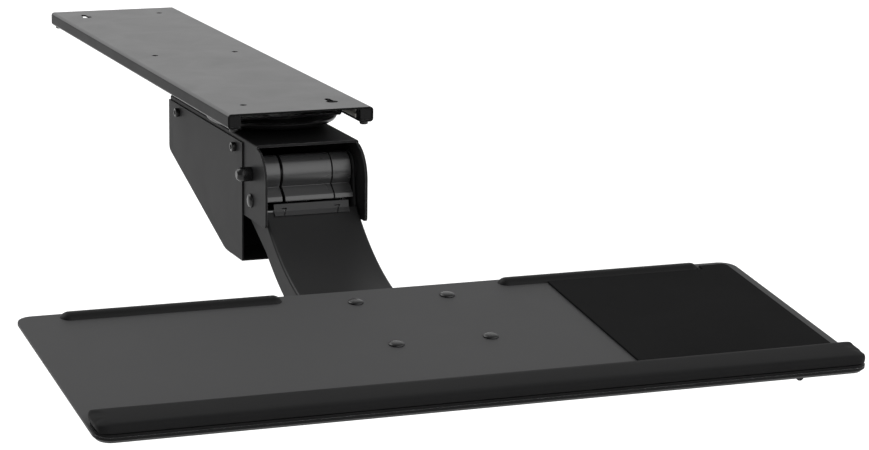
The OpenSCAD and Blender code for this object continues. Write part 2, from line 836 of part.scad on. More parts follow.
// Side view of a hinge sleeve: a round back and an apron that reaches the keeper plate
module sleeve_side() {
    crease = sleeve_r * [cos(224), sin(224)];
    facet = crease + [-3.8, -2.4];
    edge = crease + [-10.6, -7.9];
    tip = crease + [-12.1, -12];
    under = turn([apron_t, 0], -52);
    disc(shaft, sleeve_r);
    translate(shaft) polygon([
        crease + [1, 2], crease, facet, edge, tip, tip + [1.6, -0.8], edge + under,
        crease + [4, 0] + under, [0, 0]]);
}

module sleeve(x0, x1) {
    color(moulded) across(x0, x1) difference() {
        sleeve_side();
        disc(shaft, shaft_r + run);
    }
}

module sleeve_left() {
    sleeve(-arm_in + 1.3, -sleeve_mid / 2 - sleeve_groove);
}

module sleeve_middle() {
    sleeve(-sleeve_mid / 2, sleeve_mid / 2);
}

module sleeve_right() {
    sleeve(sleeve_mid / 2 + sleeve_seam, arm_in - 1.3);
}

// Plate clipped over the top edge of the arm's web, with two hooked slits
module keeper_plate() {
    half = 38.5;
    gauge = 1.6;
    r = arm_bend_r - 0.05;
    foot = on_bend(r, web_top_angle - 1.4);
    knee = on_bend(r, web_top_angle - 0.2);
    top = shaft + [-27, -25.8];
    slit = 0.8;
    color(dark_steel) difference() {
        across(-half, half) polygon([
            foot, on_bend(r - gauge, web_top_angle - 1.4), on_bend(r - gauge, web_top_angle - 0.2),
            top - [gauge, 0], top, knee]);
        for (x = [-half + 8, half - 14.5]) {
            translate([x, top[0] - 20, top[1] - 4.8]) cube([5.4, 30, slit]);
            translate([x + 5.4, top[0] - 20, top[1] - 4]) rotate([0, 28, 0])
                translate([-slit, 0, -12]) cube([slit, 30, 12]);
        }
    }
}

module heel_pin() {
    color(zinc) {
        pin(heel, link_pin_r, -arm_x, arm_x);
        both_sides(10, 11.5) disc(heel, link_pin_r + 1.5);
    }
}

module tilt_shaft() {
    color(zinc) {
        pin(tilt, tilt_shaft_r, -mount_x - bracket_t - 0.5, mount_x + bracket_t + 0.5);
        for (s = [-1, 1]) side_dome(tilt, mount_x + bracket_t + 0.5, s, tilt_shaft_r + 2, 2.5);
    }
}

// Strap that runs inside the arm's channel, parallel to the line between the arm's pivots
module link_side() {
    a0 = atan2(link_pin[1] - bend[1], link_pin[0] - bend[0]);
    low = bend[1] - link_r - link_depth / 2;
    difference() {
        union() {
            bend_band(link_r - link_depth / 2, link_r + link_depth / 2, -90, a0);
            translate([link_tip[0], low]) square([bend[0] - link_tip[0] + 0.01, link_depth]);
            disc(link_pin, link_eye_r);
            disc(link_tip, link_eye_r);
        }
        disc(link_pin, link_pin_r + run);
        disc(link_tip, link_pin_r + run);
    }
}

module link_straps() {
    color(steel) both_sides(link_x - link_t, link_x) link_side();
}

// Lever that hangs on the tilt shaft: the link holds its foot, the tray is clamped in its slot
module lever_side() {
    grip = clamp_pin_r + 0.4;
    a0 = clamp_angle - 19;
    a1 = clamp_angle + 7;
    difference() {
        union() {
            disc(tilt, 9);
            disc(link_tip, link_eye_r);
            polygon([tilt + [-7, 0], tilt + [7, 0], link_tip + [6, 0], link_tip - [6, 0]]);
            translate(tilt) {
                polygon(sector(clamp_r + 7, a0 - 8, a1 + 6, 10));
                for (a = [a0 - 2, a1]) rotate(a) translate([clamp_r, 0]) circle(7);
            }
        }
        disc(tilt, tilt_shaft_r);
        disc(link_tip, link_pin_r);
        translate(tilt) arc_slot(clamp_r, grip, a0, a1);
    }
}

module tilt_levers() {
    color(steel) both_sides(lever_x - lever_t, lever_x) lever_side();
}

module link_front_pins() {
    color(zinc) {
        both_sides(lever_x - lever_t, link_x) disc(link_tip, link_pin_r);
        both_sides(lever_x - lever_t - 2, lever_x - lever_t) disc(link_tip, link_pin_r + 2);
    }
}

// Side view of the ears, in the tray's own frame
module mount_ear() {
    grip = turn(clamp - tilt, -tray_pitch) + tilt_local;
    difference() {
        union() {
            disc(tilt_local, 11);
            disc(grip, 9);
            polygon([
                tilt_local + [11, 0], [tilt_local[0] + 16, mount_z + 0.1],
                [grip[0] - 22, mount_z + 0.1], grip + [-8.5, -3], grip + [-4, -8],
                tilt_local + [-3, -10.5]]);
        }
        disc(tilt_local, tilt_shaft_r + run);
        disc(grip, clamp_pin_r);
    }
}

module tray_mount() {
    half = 60;
    rear = -bolt_rear + 15;
    front = -bolt_rear - bolt_gap_y - 15;
    color(steel) on_tray() difference() {
        union() {
            translate([0, 0, mount_z]) linear_extrude(mount_t) rounded_2d(-half, half, front, rear, 8);
            both_sides(mount_x, mount_x + bracket_t) mount_ear();
        }
        bolt_holes(mount_z - 1, mount_z + mount_t + 1);
    }
}

// Calls its children at each of the four tray bolts
module at_bolts() {
    for (s = [-1, 1], y = [-bolt_rear, -bolt_rear - bolt_gap_y])
        translate([s * bolt_gap_x / 2, y, 0]) children();
}

module bolt_holes(z0, z1) {
    at_bolts() translate([0, 0, z0]) cylinder(r = 3.2, h = z1 - z0);
}

module tilt_clamp_bolt() {
    reach = mount_x + bracket_t;
    color(zinc) {
        pin(clamp, clamp_pin_r, -reach - 1, reach + 5);
        side_dome(clamp, reach, -1, clamp_pin_r + 3.5, 3.5);
        across(reach, reach + 4) hex_2d(clamp, clamp_pin_r + 3.5);
    }
}

module clamp_spacers() {
    color(nylon) both_sides(lever_x + 0.3, mount_x) difference() {
        disc(clamp, clamp_pin_r + 3);
        disc(clamp, clamp_pin_r);
    }
}

// Board with an upright edge above and a bevel below, all round its rounded corners
module platform() {
    half = tray_w / 2;
    r = tray_corner_r;
    b = tray_bevel;
    color(moulded) on_board() difference() {
        union() {
            translate([0, 0, b - tray_t]) linear_extrude(tray_t - b) rounded_2d(-half, half, -tray_d, 0, r);
            translate([0, 0, -tray_t]) linear_extrude(b)
                rounded_2d(-half + b, half - b, -tray_d + b, -b, r - b);
            for (x = [-half + r, half - r], y = [-tray_d + r, -r])
                translate([x, y, -tray_t]) cylinder(r1 = r - b, r2 = r, h = b, $fn = 96);
            across(-half + r, half - r) polygon([
                [-tray_d + b, -tray_t], [-b, -tray_t], [0, b - tray_t], [-tray_d, b - tray_t]]);
            along(-tray_d + r, -r) polygon([
                [-half + b, -tray_t], [half - b, -tray_t], [half, b - tray_t], [-half, b - tray_t]]);
        }
        translate([tray_aside, 0, 0]) bolt_holes(-tray_t - 1, 1);
        palm_holes(-tray_t - 1, 1);
    }
}

module tray_bolts() {
    color(zinc) on_tray() at_bolts() {
        translate([0, 0, mount_z - 8]) cylinder(r = 3.2, h = 8 - mount_z + 0.5);
        dome(bolt_head_r, 2.8);
    }
}

module tray_nuts() {
    color(zinc) on_tray() at_bolts() translate([0, 0, mount_z - 5.5]) difference() {
        cylinder(r = nut_r, h = 5.5, $fn = 6);
        translate([0, 0, -1]) cylinder(r = 3.2, h = 8);
    }
}

// Half-round strips on the rear edge that stop the keyboard, with domed ends
module keyboard_stops() {
    r = stop_strip_d / 2;
    ball = (r * r + stop_strip_h * stop_strip_h) / (2 * stop_strip_h);
    mid = -stop_strip_inset - r;
    x0 = stop_strip_gap / 2 + r;
    x1 = x0 + stop_strip_len - 2 * r;
    color(moulded) on_board() for (s = [0, 1]) mirror([s, 0, 0]) {
        across(x0, x1) intersection() {
            disc([mid, stop_strip_h - ball], ball);
            translate([mid - r - 1, 0]) square([2 * r + 2, stop_strip_h + 1]);
        }
        for (x = [x0, x1]) translate([x, mid, 0]) dome(r, stop_strip_h);
    }
}

// The mat stops short of the keyboard stop and steps back beside its end
module mouse_mat() {
    right = tray_w / 2 - mat_margin;
    rear = -stop_strip_inset - stop_strip_d - 0.5;
    front = -tray_d + palm_d + 0.8;
    side = stop_strip_gap / 2 + stop_strip_len + 0.8;
    r = tray_corner_r - mat_margin;
    color(fabric) on_board() linear_extrude(mat_t) {
        translate([mat_left, front]) square([right - mat_left, rear - front - r]);
        translate([mat_left, front]) square([side + r - mat_left, rear - front]);
        translate([side, rear - r]) square([right - side - r, r + rear_step()]);
        translate([side, rear - 2 * r]) square([right - side, 2 * r + rear_step() - r]);
        disc([right - r, rear + rear_step() - r], r);
    }
}

function rear_step() = stop_strip_inset + stop_strip_d + 0.5 - mat_margin;

module palm_holes(z0, z1) {
    for (x = [-3, -1, 1, 3]) translate([x * tray_w / 7.5, -tray_d + palm_d - 15, z0])
        cylinder(r = 1.8, h = z1 - z0);
}

module palm_board() {
    half = palm_end - 0.5;
    color(moulded) on_board() difference() {
        linear_extrude(palm_board) rounded_2d(-half, half, -tray_d + 1.5, -tray_d + palm_d - 1.5, 12);
        palm_holes(-1, palm_board - 0.6);
    }
}

module palm_screws() {
    color(zinc) on_board() {
        palm_holes(-tray_t, palm_board - 0.6);
        for (x = [-3, -1, 1, 3]) translate([x * tray_w / 7.5, -tray_d + palm_d - 15, -tray_t])
            mirror([0, 0, 1]) dome(3.6, 2);
    }
}

// Crowned pad: every ring is a soft-cornered arch, and the rings draw in at the two ends
palm_rings = 30;
palm_points = 20;
palm_end = tray_w / 2 - palm_inset;
function palm_x(i) = let(u = 2 * i / palm_rings - 1) sign(u) * (1 - pow(1 - abs(u), 1.8)) * palm_end;
function palm_shrink(x) = let(e = max(0, abs(x) - palm_end + 16) / 16) sqrt(max(0, 1 - pow(e, 2.6)));
function arch(t) = [-cos(t), sin(t)];
function soft(v, n) = sign(v) * pow(abs(v), n);
function palm_ring(x) =
    let(k = palm_shrink(x), half = palm_d / 2 * (0.55 + 0.45 * k), high = palm_h * (0.72 + 0.28 * k))
    [for (j = [0:palm_points]) let(p = arch(180 * j / palm_points), lean = 0.8 * p[1])
        [x, -tray_d + palm_d / 2 + half * soft(p[0], 0.46) + lean, palm_board + high * soft(p[1], 0.5)]];

module palm_rest() {
    n = palm_points + 1;
    points = [for (i = [0:palm_rings]) each palm_ring(palm_x(i))];
    walls = [for (i = [0:palm_rings - 1], j = [0:n - 1]) let(a = i * n + j, b = i * n + (j + 1) % n)
        each [[a, b, b + n], [a, b + n, a + n]]];
    ends = [for (j = [1:n - 2]) each [[0, j + 1, j],
        [palm_rings * n, palm_rings * n + j, palm_rings * n + j + 1]]];
    color(fabric) on_board() polyhedron(points, concat(walls, ends));
}

module front_bumper() {
    color(moulded) on_board() translate([tray_w / 2 - 63, -tray_d + 11.4, -tray_t])
        mirror([0, 0, 1]) {
            cylinder(r = 3.3, h = 3.2);
            translate([0, 0, 3.2]) dome(3.3, 2.4);
        }
}

track();
end_stops();
stop_screws();
carriage_plate();
glides();
swivel_bolt();
swivel_nut();
bearing_ring();
turntable();
turntable_rivets();
swivel_bracket();
rear_cover();
cover_screws();
lift_shaft();
shaft_cap();
friction_washers();
link_rivets();
strut_anchor_pin();
strut_cylinder();
strut_rod();
arm_channel();
arm_bushes();
sleeve_left();
sleeve_middle();
sleeve_right();
keeper_plate();
heel_pin();
tilt_shaft();
link_straps();
tilt_levers();
link_front_pins();
tray_mount();
tilt_clamp_bolt();
clamp_spacers();
platform();
tray_bolts();
tray_nuts();
keyboard_stops();
mouse_mat();
palm_board();
palm_rest();
palm_screws();
front_bumper();
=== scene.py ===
import json
import math

import bmesh
import bpy
from mathutils import Matrix, Vector


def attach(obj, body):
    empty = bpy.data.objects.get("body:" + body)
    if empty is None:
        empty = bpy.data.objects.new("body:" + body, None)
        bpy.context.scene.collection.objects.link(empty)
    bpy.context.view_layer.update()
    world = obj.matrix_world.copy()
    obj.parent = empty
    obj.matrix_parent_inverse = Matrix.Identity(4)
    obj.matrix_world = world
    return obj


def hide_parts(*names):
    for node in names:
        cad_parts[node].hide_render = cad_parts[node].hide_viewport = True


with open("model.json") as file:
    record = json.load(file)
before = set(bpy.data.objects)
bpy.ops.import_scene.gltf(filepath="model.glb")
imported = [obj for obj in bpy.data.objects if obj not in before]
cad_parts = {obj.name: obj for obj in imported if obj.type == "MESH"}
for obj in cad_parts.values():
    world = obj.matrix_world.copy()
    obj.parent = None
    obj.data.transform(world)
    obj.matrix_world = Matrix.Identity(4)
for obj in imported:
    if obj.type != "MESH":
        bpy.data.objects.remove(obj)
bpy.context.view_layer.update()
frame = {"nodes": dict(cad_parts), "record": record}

scene = bpy.context.scene
MM = 0.001


def body_that_holds(node):
    """The body that a CAD node rides on."""
    for body, members in frame["record"]["behaviour"]["bodies"].items():
        if node in members:
            return body


# Frame of the tray: the middle of its rear edge, on the top face, in the photo's pose
TRAY_PITCH = math.radians(6.8)
TRAY_EDGE = Vector((0.0, -606.05, -119.58)) * MM
ALONG = Vector((0.0, math.cos(TRAY_PITCH), math.sin(TRAY_PITCH)))
UPWARD = Vector((0.0, -math.sin(TRAY_PITCH), math.cos(TRAY_PITCH)))


def on_tray(x, y, z):
    """A place on the tray, in millimetres from the middle of its rear edge."""
    return Vector((x * MM, 0, 0)) + TRAY_EDGE + ALONG * (y * MM) + UPWARD * (z * MM)


BOARD_ASIDE = 3.0


def on_board(x, y, z):
    """A place on the board, whose middle lies a little to the left of the arm's."""
    return on_tray(x - BOARD_ASIDE, y, z)


# Node groups shared by the materials

def new_group(name, inputs, outputs):
    tree = bpy.data.node_groups.new(name, "ShaderNodeTree")
    for label, kind, value in inputs:
        socket = tree.interface.new_socket(name=label, in_out="INPUT", socket_type=kind)
        socket.default_value = value
    for label, kind in outputs:
        tree.interface.new_socket(name=label, in_out="OUTPUT", socket_type=kind)
    start = tree.nodes.new("NodeGroupInput")
    end = tree.nodes.new("NodeGroupOutput")
    return tree, start, end


def node_in(tree, kind, **settings):
    node = tree.nodes.new(kind)
    for key, value in settings.items():
        setattr(node, key, value)
    return node


def join(tree, source, target):
    tree.links.new(source, target)


def grain_group():
    """Fine, even grain: a height for the bump and a mask that follows it."""
    tree, start, end = new_group(
        "surface_grain",
        [("Grains per metre", "NodeSocketFloat", 900.0)],
        [("Height", "NodeSocketFloat"), ("Mask", "NodeSocketFloat")])
    place = node_in(tree, "ShaderNodeTexCoord")
    fine = node_in(tree, "ShaderNodeTexNoise", noise_dimensions="3D")
    fine.inputs["Detail"].default_value = 3.0
    fine.inputs["Roughness"].default_value = 0.6
    join(tree, place.outputs["Object"], fine.inputs["Vector"])
    join(tree, start.outputs["Grains per metre"], fine.inputs["Scale"])
    pits = node_in(tree, "ShaderNodeTexVoronoi", feature="F1", distance="EUCLIDEAN")
    join(tree, place.outputs["Object"], pits.inputs["Vector"])
    join(tree, start.outputs["Grains per metre"], pits.inputs["Scale"])
    both = node_in(tree, "ShaderNodeMath", operation="MULTIPLY_ADD")
    both.inputs[1].default_value = 0.5
    join(tree, pits.outputs["Distance"], both.inputs[0])
    join(tree, fine.outputs["Fac"], both.inputs[2])
    join(tree, both.outputs[0], end.inputs["Height"])
    spread = node_in(tree, "ShaderNodeMapRange")
    spread.inputs["From Min"].default_value = 0.35
    spread.inputs["From Max"].default_value = 0.65
    join(tree, fine.outputs["Fac"], spread.inputs["Value"])
    join(tree, spread.outputs[0], end.inputs["Mask"])
    return tree


def handling_group():
    """Slow changes over the surface, from dust and handling: a mask from 0 to 1."""
    tree, start, end = new_group(
        "dust_and_handling",
        [("Patches per metre", "NodeSocketFloat", 14.0), ("Sharpness", "NodeSocketFloat", 0.3)],
        [("Mask", "NodeSocketFloat")])
    place = node_in(tree, "ShaderNodeTexCoord")
    cloud = node_in(tree, "ShaderNodeTexNoise", noise_dimensions="3D")
    cloud.inputs["Detail"].default_value = 4.0
    cloud.inputs["Roughness"].default_value = 0.62
    cloud.inputs["Distortion"].default_value = 0.6
    join(tree, place.outputs["Object"], cloud.inputs["Vector"])
    join(tree, start.outputs["Patches per metre"], cloud.inputs["Scale"])
    low = node_in(tree, "ShaderNodeMath", operation="SUBTRACT")
    low.inputs[0].default_value = 0.5
    join(tree, start.outputs["Sharpness"], low.inputs[1])
    high = node_in(tree, "ShaderNodeMath", operation="ADD")
    high.inputs[0].default_value = 0.5
    join(tree, start.outputs["Sharpness"], high.inputs[1])
    spread = node_in(tree, "ShaderNodeMapRange")
    join(tree, cloud.outputs["Fac"], spread.inputs["Value"])
    join(tree, low.outputs[0], spread.inputs["From Min"])
    join(tree, high.outputs[0], spread.inputs["From Max"])
    join(tree, spread.outputs[0], end.inputs["Mask"])
    return tree


def weave_group():
    """Close knit of a mouse mat's cloth, drawn on the tray's own X and Y."""
    tree, start, end = new_group(
        "knit_cloth",
        [("Threads per metre", "NodeSocketFloat", 1400.0)],
        [("Height", "NodeSocketFloat"), ("Mask", "NodeSocketFloat")])
    place = node_in(tree, "ShaderNodeTexCoord")
    turn = node_in(tree, "ShaderNodeMapping")
    turn.inputs["Rotation"].default_value = (-TRAY_PITCH, 0, 0)
    join(tree, place.outputs["Object"], turn.inputs["Vector"])
    scale = node_in(tree, "ShaderNodeMath", operation="MULTIPLY")
    scale.inputs[1].default_value = 0.16
    join(tree, start.outputs["Threads per metre"], scale.inputs[0])
    waves = []
    for direction in ("X", "Y"):
        wave = node_in(tree, "ShaderNodeTexWave", wave_type="BANDS", bands_direction=direction)
        wave.inputs["Distortion"].default_value = 0.35
        join(tree, turn.outputs[0], wave.inputs["Vector"])
        join(tree, scale.outputs[0], wave.inputs["Scale"])
        waves.append(wave)
    cross = node_in(tree, "ShaderNodeMath", operation="MULTIPLY")
    join(tree, waves[0].outputs["Fac"], cross.inputs[0])
    join(tree, waves[1].outputs["Fac"], cross.inputs[1])
    fuzz = node_in(tree, "ShaderNodeTexNoise", noise_dimensions="3D")
    fuzz.inputs["Detail"].default_value = 2.0
    join(tree, turn.outputs[0], fuzz.inputs["Vector"])
    join(tree, start.outputs["Threads per metre"], fuzz.inputs["Scale"])
    both = node_in(tree, "ShaderNodeMath", operation="MULTIPLY_ADD")
    both.inputs[1].default_value = 0.6
    join(tree, fuzz.outputs["Fac"], both.inputs[0])
    join(tree, cross.outputs[0], both.inputs[2])
    join(tree, both.outputs[0], end.inputs["Height"])
    join(tree, both.outputs[0], end.inputs["Mask"])
    return tree


GRAIN = grain_group()
HANDLING = handling_group()
WEAVE = weave_group()


GRAIN_SHARE = 0.45  # how much of the colour change follows the grain; handling makes the rest


def finish_material(name, base, worn, roughness, rough_spread=0.08, grain=1300, bump=0.012,
                    metallic=0.0, patches=14.0, specular=0.5, sheen=0.0, weave=None):
    """A finish with its own grain, slow colour change and bump, whose height is in millimetres."""
    mat = bpy.data.materials.new(name)
    mat.use_nodes = True
    tree = mat.node_tree
    shader = next(n for n in tree.nodes if n.type == "BSDF_PRINCIPLED")
    shader.inputs["Metallic"].default_value = metallic
    shader.inputs["Specular IOR Level"].default_value = specular
    shader.inputs["Sheen Weight"].default_value = sheen
    shader.inputs["Sheen Roughness"].default_value = 0.5

    if weave:
        surface = node_in(tree, "ShaderNodeGroup", node_tree=WEAVE)
        surface.inputs["Threads per metre"].default_value = weave
    else:
        surface = node_in(tree, "ShaderNodeGroup", node_tree=GRAIN)
        surface.inputs["Grains per metre"].default_value = grain
    handled = node_in(tree, "ShaderNodeGroup", node_tree=HANDLING)
    handled.inputs["Patches per metre"].default_value = patches

    tint = node_in(tree, "ShaderNodeMix", data_type="RGBA")
    tint.inputs["A"].default_value = (*base, 1)
    tint.inputs["B"].default_value = (*worn, 1)
    amount = node_in(tree, "ShaderNodeMath", operation="MULTIPLY_ADD")
    amount.inputs[1].default_value = GRAIN_SHARE
    join(tree, surface.outputs["Mask"], amount.inputs[0])
    rest = node_in(tree, "ShaderNodeMath", operation="MULTIPLY")
    rest.inputs[1].default_value = 1 - GRAIN_SHARE
    join(tree, handled.outputs["Mask"], rest.inputs[0])
    join(tree, rest.outputs[0], amount.inputs[2])
    join(tree, amount.outputs[0], tint.inputs["Factor"])
    join(tree, tint.outputs["Result"], shader.inputs["Base Color"])

    rough = node_in(tree, "ShaderNodeMapRange")
    rough.inputs["To Min"].default_value = roughness - rough_spread / 2
    rough.inputs["To Max"].default_value = roughness + rough_spread / 2
    join(tree, handled.outputs["Mask"], rough.inputs["Value"])
    join(tree, rough.outputs[0], shader.inputs["Roughness"])

    relief = node_in(tree, "ShaderNodeBump")
    relief.inputs["Strength"].default_value = 1.0
    relief.inputs["Distance"].default_value = bump * MM
    join(tree, surface.outputs["Height"], relief.inputs["Height"])
    join(tree, relief.outputs[0], shader.inputs["Normal"])
    return mat


def grey(value):
    """A grey with a trace of blue."""
    return (value, value, value * 1.02)


# A slot's own finish has the slot's name. The others paint single pieces or faces.
FINISH = {
    "painted_steel": finish_material(
        "powder_coated_steel", grey(0.03), grey(0.036), roughness=0.36),
    # Painted shade: a darker, less shiny copy of the steel's paint for faces that turn to the sides and
    # get less light
    "shaded_side_paint": finish_material(
        "powder_coated_shaded_sides", grey(0.016), grey(0.021), roughness=0.42, specular=0.04),
    # Painted shade: a darker copy of the steel's paint for the arm, which gets less light
    "shaded_arm_paint": finish_material(
        "powder_coated_shaded_arm", grey(0.012), grey(0.016), roughness=0.4, specular=0.16),
    "keeper_paint": finish_material(
        "powder_coated_keeper", grey(0.028), grey(0.034), roughness=0.36, specular=0.2),
    # Painted highlight: a lighter colour on broken edges, in place of the line of light that catches
    # them
    "painted_edge_highlight": finish_material(
        "steel_edge_painted_highlight", grey(0.16), grey(0.26), roughness=0.4, rough_spread=0.1,
        bump=0.008, specular=0.1),
    # Painted shade: near-black for faces that lie in shadow, such as the front faces of the track and
    # carriage and the top of the bracket under the track
    "painted_shade_face": finish_material(
        "steel_face_painted_shade", grey(0.004), grey(0.008), roughness=0.5, bump=0.01, specular=0.05),
    "dark_steel": finish_material(
        "dark_lacquered_steel", grey(0.006), grey(0.01), roughness=0.32, rough_spread=0.1,
        grain=900, bump=0.01, specular=0.2),
    "platform_board": finish_material(
        "grained_board", grey(0.036), grey(0.044), roughness=0.6, rough_spread=0.06,
        grain=1500, bump=0.03, specular=0.25),
    "board_edging": finish_material(
        "board_edge_band", grey(0.004), grey(0.008), roughness=0.42, grain=1500, bump=0.01,
        specular=0.1),
    # Painted highlight: a light colour on the board's front broken edge, in place of the line of light
    # along it
    "board_edge_highlight": finish_material(
        "board_edge_painted_highlight", grey(0.36), grey(0.46), roughness=0.4, grain=1500, bump=0.01),
    "black_moulding": finish_material(
        "satin_black_moulding", grey(0.005), grey(0.009), roughness=0.5, grain=1800, bump=0.01,
        specular=0.12),
    "sleeve_moulding": finish_material(
        "hinge_sleeve_moulding", grey(0.03), grey(0.037), roughness=0.28, grain=1500, bump=0.01,
        specular=0.6),
    "black_fittings": finish_material(
        "black_oxide_fittings", grey(0.006), grey(0.01), roughness=0.26, rough_spread=0.1,
        grain=1200, bump=0.006, specular=0.3),
    "zinc_parts": finish_material(
        "zinc_plate", (0.46, 0.47, 0.48), (0.55, 0.55, 0.54), roughness=0.34, rough_spread=0.14,
        grain=1600, bump=0.004, metallic=1.0, patches=60.0),
    "nylon": finish_material(
        "natural_nylon", (0.6, 0.58, 0.53), (0.66, 0.64, 0.59), roughness=0.5, rough_spread=0.1,
        grain=900, bump=0.01),
    "mat_fabric": finish_material(
        "mat_cloth", grey(0.007), grey(0.011), roughness=0.92, rough_spread=0.04, bump=0.08,
        weave=1400, specular=0.02, sheen=0.01),
    "palm_pad": finish_material(
        "soft_pad_skin", grey(0.011), grey(0.015), roughness=0.5, rough_spread=0.06,
        grain=1500, bump=0.02, specular=0.03),
}
SLOT_OF = {row["node"]: row["material_slot"] for row in frame["record"]["subparts"]}


def paint(piece, finish):
    piece.data.materials.clear()
    piece.data.materials.append(FINISH[finish])


for node, cad in frame["nodes"].items():
    paint(cad, SLOT_OF[node])


# Pieces made from a CAD node: the same solid, with its edges broken and its curves smooth

def new_piece(name, mesh):
    piece = bpy.data.objects.new(name, mesh)
    scene.collection.objects.link(piece)
    return piece


def settle(piece):
    """Turns the piece's modifiers into plain mesh."""
    bpy.context.view_layer.update()
    shaped = piece.evaluated_get(bpy.context.evaluated_depsgraph_get())
    mesh = bpy.data.meshes.new_from_object(shaped)
    piece.modifiers.clear()
    piece.data = mesh
    return piece


def smooth_by_angle(mesh, degrees):
    for face in mesh.polygons:
        face.use_smooth = True
    mesh.set_sharp_from_angle(angle=math.radians(degrees))


def level_flats(piece):
    """Gives wide flat faces their own normal, so that only the edges beside them look round."""
    weighting = piece.modifiers.new("flat_faces", "WEIGHTED_NORMAL")
    weighting.mode = "FACE_AREA"
    weighting.weight = 100
    weighting.keep_sharp = True
    settle(piece)


WELD = 2e-6  # metres between points that become one
FLAT = math.radians(0.4)  # facets that meet at less than this are joined
CREASE = math.radians(28)  # edges sharper than this are broken


def dressed(node, name, edge=0.4, segments=2, finish=None, edging=None):
    """Breaks the edges of a copy of a CAD node by a small radius, in millimetres.

    The finish is the node's slot unless another is named. Edging names one for the broken edges.
    """
    mesh = frame["nodes"][node].data.copy()
    work = bmesh.new()
    work.from_mesh(mesh)
    bmesh.ops.remove_doubles(work, verts=work.verts, dist=WELD)
    bmesh.ops.dissolve_limit(work, angle_limit=FLAT, verts=work.verts, edges=work.edges,
                             delimit={"NORMAL"})
    bmesh.ops.recalc_face_normals(work, faces=work.faces)
    work.to_mesh(mesh)
    work.free()
    piece = new_piece(name, mesh)
    paint(piece, finish or SLOT_OF[node])
    if edging:
        mesh.materials.append(FINISH[edging])
    if edge:
        rounding = piece.modifiers.new("broken_edges", "BEVEL")
        rounding.width = edge * MM
        rounding.segments = segments
        rounding.limit_method = "ANGLE"
        rounding.angle_limit = CREASE
        rounding.use_clamp_overlap = True
        rounding.miter_outer = "MITER_ARC"
        rounding.material = 1 if edging else -1
        settle(piece)
    smooth_by_angle(piece.data, 40)
    level_flats(piece)
    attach(piece, body_that_holds(node))
    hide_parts(node)
    return piece


def repaint_faces(piece, finish, wanted):
    """Gives the faces for which wanted(normal, centre) holds another finish."""
    piece.data.materials.append(FINISH[finish])
    index = len(piece.data.materials) - 1
    for face in piece.data.polygons:
        if wanted(face.normal, face.center):
            face.material_index = index
    piece.data.update()


# A face counts as facing a direction when its normal has at least this share of it
SQUARE_ON, ARM_CHEEK, BOARD_TOP, BOARD_BEVEL = 0.9, 0.8, 0.97, 0.25
BOARD_FRONT_STRIP = -268.0 * MM  # the painted highlight runs along the edge in front of this line

# Painted highlight on the broken edges of the track, carriage and bracket
track = dressed("track", "track_channel", edge=0.5, edging="painted_edge_highlight")
# Painted shade on the track's front faces
repaint_faces(track, "painted_shade_face", lambda n, c: n.y < -SQUARE_ON)
# Painted shade: the track's sides in the darker side paint
repaint_faces(track, "shaded_side_paint", lambda n, c: abs(n.x) > SQUARE_ON)
dressed("end_stops", "track_end_blocks", edge=0.6)
carriage = dressed("carriage_plate", "carriage_hat_plate", edge=0.4, edging="painted_edge_highlight")
# Painted shade on the carriage's front faces
repaint_faces(carriage, "painted_shade_face", lambda n, c: n.y < -SQUARE_ON)
dressed("glides", "carriage_runners", edge=0.3)
dressed("turntable", "turntable_pan", edge=0.4)
# Painted shade: the bracket in the darker side paint
bracket = dressed("swivel_bracket", "bracket_channel", edge=0.6, finish="shaded_side_paint",
                  edging="painted_edge_highlight")
# Painted shade on the bracket's top, under the track
repaint_faces(bracket, "painted_shade_face", lambda n, c: n.z > SQUARE_ON)
# Painted shade: the rear box in the darker side paint
dressed("rear_cover", "rear_box", edge=0.45, finish="shaded_side_paint")
dressed("lift_shaft", "main_shaft", edge=0.4)
dressed("shaft_cap", "shaft_end_cap", edge=0.4)
# Painted shade: the arm in a darker copy of the steel's paint
arm = dressed("arm_channel", "curved_arm", edge=0.4, finish="shaded_arm_paint")
# Painted shade: the arm's cheeks in the darker side paint
repaint_faces(arm, "shaded_side_paint", lambda n, c: abs(n.x) > ARM_CHEEK)
dressed("sleeve_left", "hinge_sleeve_left", edge=0.5)
dressed("sleeve_middle", "hinge_sleeve_middle", edge=0.5)
dressed("sleeve_right", "hinge_sleeve_right", edge=0.5)
dressed("keeper_plate", "notched_keeper", edge=0.3, finish="keeper_paint")
dressed("link_straps", "levelling_straps", edge=0.4)
dressed("tilt_levers", "tilt_levers_pair", edge=0.4)
dressed("tray_mount", "tray_saddle", edge=0.4)
board = dressed("platform", "board", edge=0.9, segments=3, finish="board_edging")
repaint_faces(board, "platform_board", lambda n, c: n.dot(UPWARD) > BOARD_TOP)
# Painted highlight along the board's front broken edge
repaint_faces(board, "board_edge_highlight", lambda n, c: BOARD_BEVEL < n.dot(UPWARD) <= BOARD_TOP
              and (c - TRAY_EDGE).dot(ALONG) < BOARD_FRONT_STRIP)
dressed("keyboard_stops", "keyboard_edge_strips", edge=0.0)
mat = dressed("mouse_mat", "mouse_mat_cloth", edge=0.8, segments=3)
dressed("palm_board", "palm_rest_base", edge=0.0, finish="palm_pad")
dressed("friction_washers", "friction_discs", edge=0.2)


# Fasteners: each kind is turned from its outline, then set on its places by Geometry Nodes

def outline_radius(shape, radius, angle):
    """Radius of a round, hexagonal or cross-shaped outline at an angle."""
    if shape == "hexagon":
        return radius * math.cos(math.pi / 6) / math.cos((angle % (math.pi / 3)) - math.pi / 6)
    if shape == "cross":
        waist = 0.36
        return radius * (waist + (1 - waist) * abs(math.cos(2 * angle)) ** 4)
    return radius


SMOOTH_FASTENER = 35  # degrees


